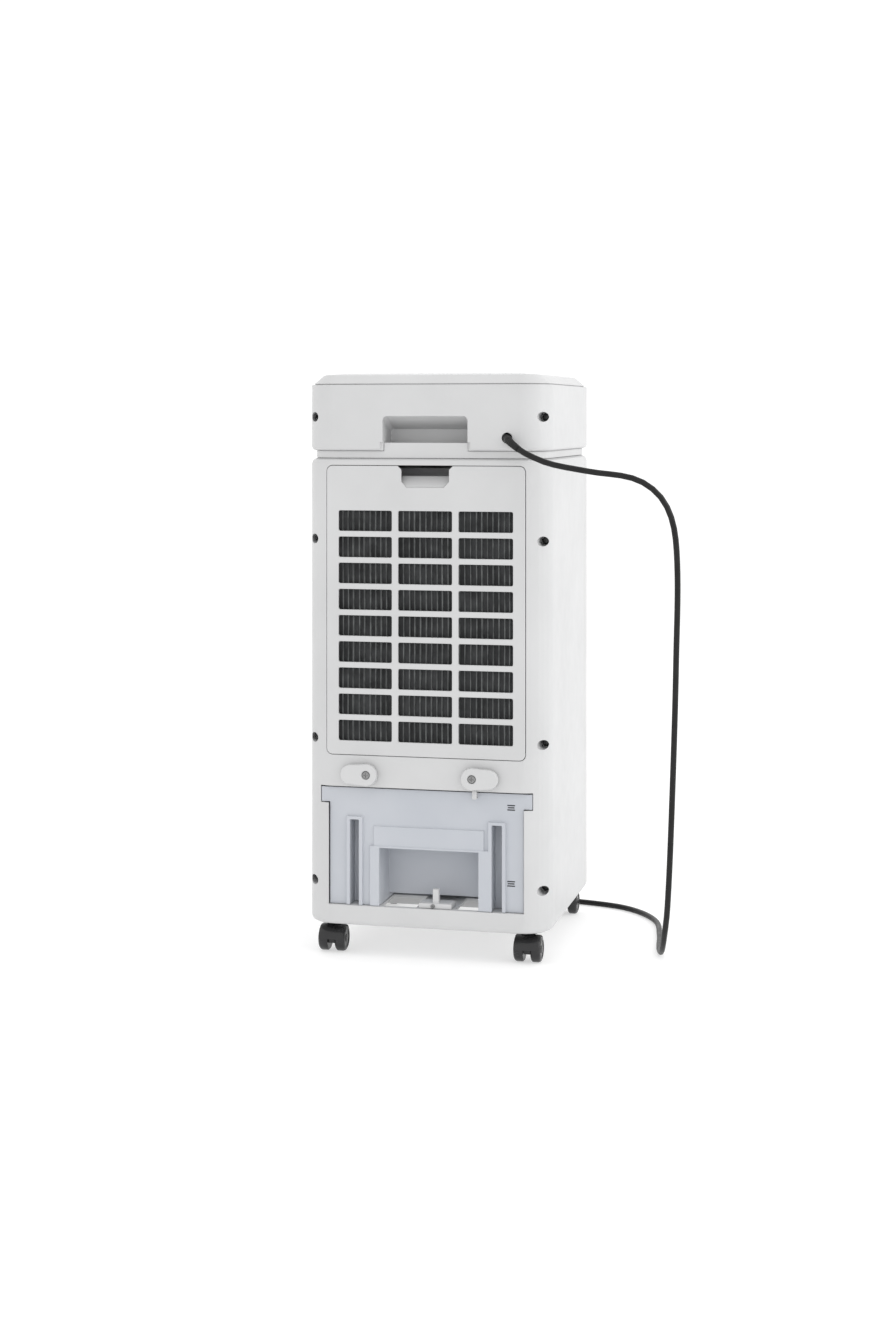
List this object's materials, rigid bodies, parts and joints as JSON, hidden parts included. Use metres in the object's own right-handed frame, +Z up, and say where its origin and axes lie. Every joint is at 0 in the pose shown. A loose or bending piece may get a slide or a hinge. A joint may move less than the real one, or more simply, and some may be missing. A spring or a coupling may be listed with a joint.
{
  "type": "evaporative cooler",
  "caption": "Tall white evaporative air cooler on casters, with a removable rear filter cover, a rear water tank, a centrifugal fan, a louvred front outlet and a mains cord.",
  "frame": {"origin": "on the floor under the middle of the casing", "axes": "+Z up; +Y towards the rear face, with the filter cover and the water tank; -Y towards the air outlet; +X to the left when the rear face is looked at"},
  "size_m": [0.4128, 0.4246, 0.635],
  "materials": {
    "white_plastic": "white moulded ABS, satin",
    "black_plastic": "black moulded plastic, semi-gloss",
    "grey_plastic": "mid-grey moulded plastic",
    "tank_plastic": "translucent blue-grey moulded plastic",
    "steel": "bare zinc-plated steel",
    "filter_mesh": "dark woven dust-filter mesh",
    "cellulose": "corrugated cellulose pad, brown",
    "clear_hose": "soft clear hose",
    "smoked_window": "smoked clear display window",
    "circuit_board": "green circuit board",
    "cord_rubber": "black flexible cord jacket"
  },
  "bodies": {
    "body": {"base_tray": "white_plastic", "rear_shell": "white_plastic", "front_shell": "white_plastic", "neck_ring": "white_plastic", "head_shell": "white_plastic", "top_cover": "white_plastic", "tank_stop": "white_plastic", "water_pump": "black_plastic", "control_panel": "black_plastic", "cord_relief": "black_plastic", "mains_plug": "black_plastic", "pad_frame": "grey_plastic", "water_distributor": "grey_plastic", "drip_tray": "grey_plastic", "fan_scroll": "grey_plastic", "outlet_frame": "grey_plastic", "tank_stop_screw": "steel", "latch_screw_left": "steel", "latch_screw_right": "steel", "pump_bracket": "steel", "fan_motor": "steel", "swing_motor": "steel", "cooling_pad": "cellulose", "water_hose": "clear_hose", "display_window": "smoked_window", "control_board": "circuit_board", "power_cord": "cord_rubber", "cord_coil": "cord_rubber", "cord_tail": "cord_rubber"},
    "filter_door": {"filter_cover": "white_plastic", "dust_filter": "filter_mesh"},
    "tank": {"water_tank": "tank_plastic", "tank_tab": "white_plastic"},
    "latch_left": {"latch_left": "white_plastic"},
    "latch_right": {"latch_right": "white_plastic"},
    "fan": {"fan_wheel": "grey_plastic", "fan_shaft": "steel"},
    "louvre_1": {"louvre_1": "grey_plastic"},
    "louvre_2": {"louvre_2": "grey_plastic"},
    "louvre_3": {"louvre_3": "grey_plastic"},
    "louvre_4": {"louvre_4": "grey_plastic"},
    "louvre_5": {"louvre_5": "grey_plastic"},
    "swing_vane_1": {"swing_vane_1": "grey_plastic"},
    "swing_vane_2": {"swing_vane_2": "grey_plastic"},
    "swing_vane_3": {"swing_vane_3": "grey_plastic"},
    "swing_vane_4": {"swing_vane_4": "grey_plastic"},
    "button_1": {"button_1": "grey_plastic"},
    "button_2": {"button_2": "grey_plastic"},
    "button_3": {"button_3": "grey_plastic"},
    "button_4": {"button_4": "grey_plastic"},
    "button_5": {"button_5": "grey_plastic"},
    "caster_fork_rear_left": {"caster_fork_rear_left": "black_plastic"},
    "caster_wheels_rear_left": {"caster_wheels_rear_left": "black_plastic"},
    "caster_fork_rear_right": {"caster_fork_rear_right": "black_plastic"},
    "caster_wheels_rear_right": {"caster_wheels_rear_right": "black_plastic"},
    "caster_fork_front_left": {"caster_fork_front_left": "black_plastic"},
    "caster_wheels_front_left": {"caster_wheels_front_left": "black_plastic"},
    "caster_fork_front_right": {"caster_fork_front_right": "black_plastic"},
    "caster_wheels_front_right": {"caster_wheels_front_right": "black_plastic"}
  },
  "joints": [
    {"name": "filter_door_tilt", "type": "hinge", "parent": "body", "child": "filter_door", "pos_m": [0, 0.141, 0.2215], "axis": [-1, 0, 0], "range_deg": [0, 35]},
    {"name": "tank_slide", "type": "slide", "parent": "body", "child": "tank", "axis": [0, 1, 0], "range_m": [0, 0.028]},
    {"name": "latch_left_turn", "type": "hinge", "parent": "body", "child": "latch_left", "pos_m": [0.0639, 0.141, 0.1993], "axis": [0, -1, 0], "range_deg": [-90, 0]},
    {"name": "latch_right_turn", "type": "hinge", "parent": "body", "child": "latch_right", "pos_m": [-0.0533, 0.141, 0.1993], "axis": [0, 1, 0], "range_deg": [-90, 0]},
    {"name": "fan_spin", "type": "hinge", "parent": "body", "child": "fan", "pos_m": [0, 0, 0.335], "axis": [0, 1, 0], "continuous": true},
    {"name": "louvre_1_tilt", "type": "hinge", "parent": "body", "child": "louvre_1", "pos_m": [0, -0.126, 0.421], "axis": [1, 0, 0], "range_deg": [-30, 30]},
    {"name": "louvre_2_tilt", "type": "hinge", "parent": "body", "child": "louvre_2", "pos_m": [0, -0.126, 0.4425], "axis": [1, 0, 0], "range_deg": [-30, 30]},
    {"name": "louvre_3_tilt", "type": "hinge", "parent": "body", "child": "louvre_3", "pos_m": [0, -0.126, 0.464], "axis": [1, 0, 0], "range_deg": [-30, 30]},
    {"name": "louvre_4_tilt", "type": "hinge", "parent": "body", "child": "louvre_4", "pos_m": [0, -0.126, 0.4855], "axis": [1, 0, 0], "range_deg": [-30, 30]},
    {"name": "louvre_5_tilt", "type": "hinge", "parent": "body", "child": "louvre_5", "pos_m": [0, -0.126, 0.507], "axis": [1, 0, 0], "range_deg": [-30, 30]},
    {"name": "swing_vane_1_turn", "type": "hinge", "parent": "body", "child": "swing_vane_1", "pos_m": [-0.06, -0.106, 0.464], "axis": [0, 0, 1], "range_deg": [-35, 35]},
    {"name": "swing_vane_2_turn", "type": "hinge", "parent": "body", "child": "swing_vane_2", "pos_m": [-0.02, -0.106, 0.464], "axis": [0, 0, 1], "range_deg": [-35, 35]},
    {"name": "swing_vane_3_turn", "type": "hinge", "parent": "body", "child": "swing_vane_3", "pos_m": [0.02, -0.106, 0.464], "axis": [0, 0, 1], "range_deg": [-35, 35]},
    {"name": "swing_vane_4_turn", "type": "hinge", "parent": "body", "child": "swing_vane_4", "pos_m": [0.06, -0.106, 0.464], "axis": [0, 0, 1], "range_deg": [-35, 35]},
    {"name": "button_1_press", "type": "slide", "parent": "body", "child": "button_1", "axis": [0, 0, -1], "range_m": [0, 0.001], "stiffness_N_per_m": 300},
    {"name": "button_2_press", "type": "slide", "parent": "body", "child": "button_2", "axis": [0, 0, -1], "range_m": [0, 0.001], "stiffness_N_per_m": 300},
    {"name": "button_3_press", "type": "slide", "parent": "body", "child": "button_3", "axis": [0, 0, -1], "range_m": [0, 0.001], "stiffness_N_per_m": 300},
    {"name": "button_4_press", "type": "slide", "parent": "body", "child": "button_4", "axis": [0, 0, -1], "range_m": [0, 0.001], "stiffness_N_per_m": 300},
    {"name": "button_5_press", "type": "slide", "parent": "body", "child": "button_5", "axis": [0, 0, -1], "range_m": [0, 0.001], "stiffness_N_per_m": 300},
    {"name": "caster_swivel_rear_left", "type": "hinge", "parent": "body", "child": "caster_fork_rear_left", "pos_m": [0.109, 0.108, 0.034], "axis": [0, 0, 1], "continuous": true},
    {"name": "caster_roll_rear_left", "type": "hinge", "parent": "caster_fork_rear_left", "child": "caster_wheels_rear_left", "pos_m": [0.109, 0.116, 0.014], "axis": [1, 0, 0], "continuous": true},
    {"name": "caster_swivel_rear_right", "type": "hinge", "parent": "body", "child": "caster_fork_rear_right", "pos_m": [-0.109, 0.108, 0.034], "axis": [0, 0, 1], "continuous": true},
    {"name": "caster_roll_rear_right", "type": "hinge", "parent": "caster_fork_rear_right", "child": "caster_wheels_rear_right", "pos_m": [-0.109, 0.116, 0.014], "axis": [1, 0, 0], "continuous": true},
    {"name": "caster_swivel_front_left", "type": "hinge", "parent": "body", "child": "caster_fork_front_left", "pos_m": [0.109, -0.108, 0.034], "axis": [0, 0, 1], "continuous": true},
    {"name": "caster_roll_front_left", "type": "hinge", "parent": "caster_fork_front_left", "child": "caster_wheels_front_left", "pos_m": [0.109, -0.116, 0.014], "axis": [1, 0, 0], "continuous": true},
    {"name": "caster_swivel_front_right", "type": "hinge", "parent": "body", "child": "caster_fork_front_right", "pos_m": [-0.109, -0.108, 0.034], "axis": [0, 0, 1], "continuous": true},
    {"name": "caster_roll_front_right", "type": "hinge", "parent": "caster_fork_front_right", "child": "caster_wheels_front_right", "pos_m": [-0.109, -0.116, 0.014], "axis": [1, 0, 0], "continuous": true}
  ],
  "couplings": [
    {"joint": "louvre_2_tilt", "follows": "louvre_1_tilt", "ratio": 1},
    {"joint": "louvre_3_tilt", "follows": "louvre_1_tilt", "ratio": 1},
    {"joint": "louvre_4_tilt", "follows": "louvre_1_tilt", "ratio": 1},
    {"joint": "louvre_5_tilt", "follows": "louvre_1_tilt", "ratio": 1},
    {"joint": "swing_vane_2_turn", "follows": "swing_vane_1_turn", "ratio": 1},
    {"joint": "swing_vane_3_turn", "follows": "swing_vane_1_turn", "ratio": 1},
    {"joint": "swing_vane_4_turn", "follows": "swing_vane_1_turn", "ratio": 1}
  ]
}
